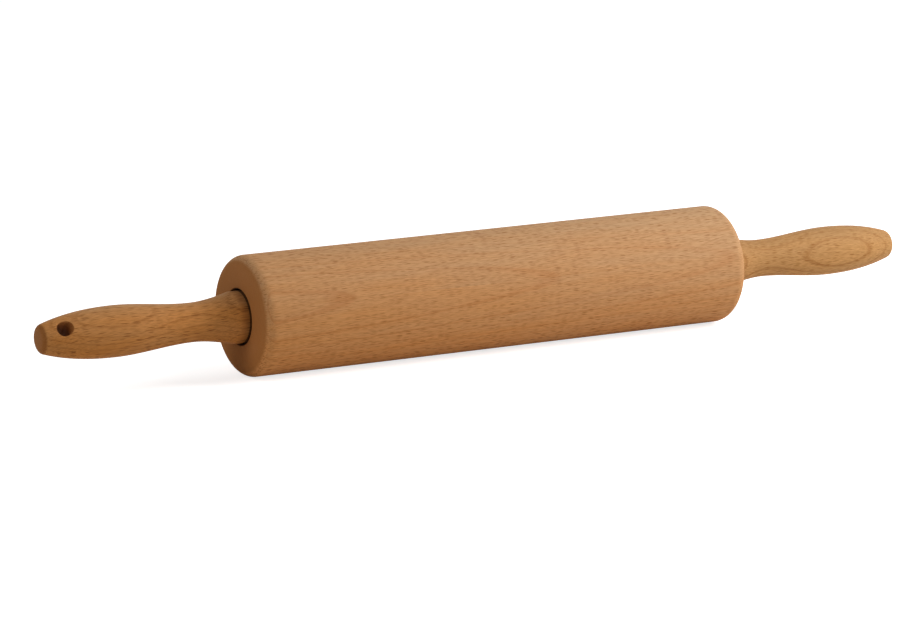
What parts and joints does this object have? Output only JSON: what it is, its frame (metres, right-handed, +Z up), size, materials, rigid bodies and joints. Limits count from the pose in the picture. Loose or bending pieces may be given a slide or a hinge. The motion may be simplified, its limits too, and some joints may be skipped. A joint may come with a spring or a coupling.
{
  "type": "rolling pin",
  "caption": "Revolving wooden rolling pin: a thick cylinder that spins on an axle between turned handles.",
  "frame": {"origin": "the middle of the roller, on the axis that it spins about", "axes": "+X along the axle towards the plain handle, +Z up when the pin lies on a table, -Y towards the side that the hanging hole's mouth leans to"},
  "size_m": [0.4496, 0.055, 0.055],
  "materials": {
    "roller_beech": "sanded bare beech",
    "handle_beech": "turned, oiled beech",
    "axle_steel": "drawn steel rod",
    "washer_steel": "zinc plated",
    "spring_steel": "phosphated spring steel",
    "bearing_steel": "ground and polished steel",
    "shield_steel": "pressed steel sheet",
    "cage_nylon": "moulded natural nylon"
  },
  "bodies": {
    "handles_and_axle": {"handle_left": "handle_beech", "handle_right": "handle_beech", "axle_rod": "axle_steel", "washer_left": "washer_steel", "circlip_left": "spring_steel", "bearing_inner_ring_left": "bearing_steel", "washer_right": "washer_steel", "circlip_right": "spring_steel", "bearing_inner_ring_right": "bearing_steel"},
    "roller": {"roller": "roller_beech", "bearing_outer_ring_left": "bearing_steel", "bearing_shield_front_left": "shield_steel", "bearing_shield_back_left": "shield_steel", "bearing_outer_ring_right": "bearing_steel", "bearing_shield_front_right": "shield_steel", "bearing_shield_back_right": "shield_steel"},
    "ball_cage_left": {"ball_cage_left": "cage_nylon", "balls_left": "bearing_steel"},
    "ball_cage_right": {"ball_cage_right": "cage_nylon", "balls_right": "bearing_steel"}
  },
  "joints": [
    {"name": "roller_spin", "type": "hinge", "parent": "handles_and_axle", "child": "roller", "pos_m": [0, 0, 0], "axis": [1, 0, 0], "continuous": true},
    {"name": "ball_orbit_left", "type": "hinge", "parent": "handles_and_axle", "child": "ball_cage_left", "pos_m": [-0.1179, 0, 0], "axis": [1, 0, 0], "continuous": true},
    {"name": "ball_orbit_right", "type": "hinge", "parent": "handles_and_axle", "child": "ball_cage_right", "pos_m": [0.1179, 0, 0], "axis": [1, 0, 0], "continuous": true}
  ],
  "couplings": [
    {"joint": "ball_orbit_left", "follows": "roller_spin", "ratio": 0.6323},
    {"joint": "ball_orbit_right", "follows": "roller_spin", "ratio": 0.6323}
  ]
}
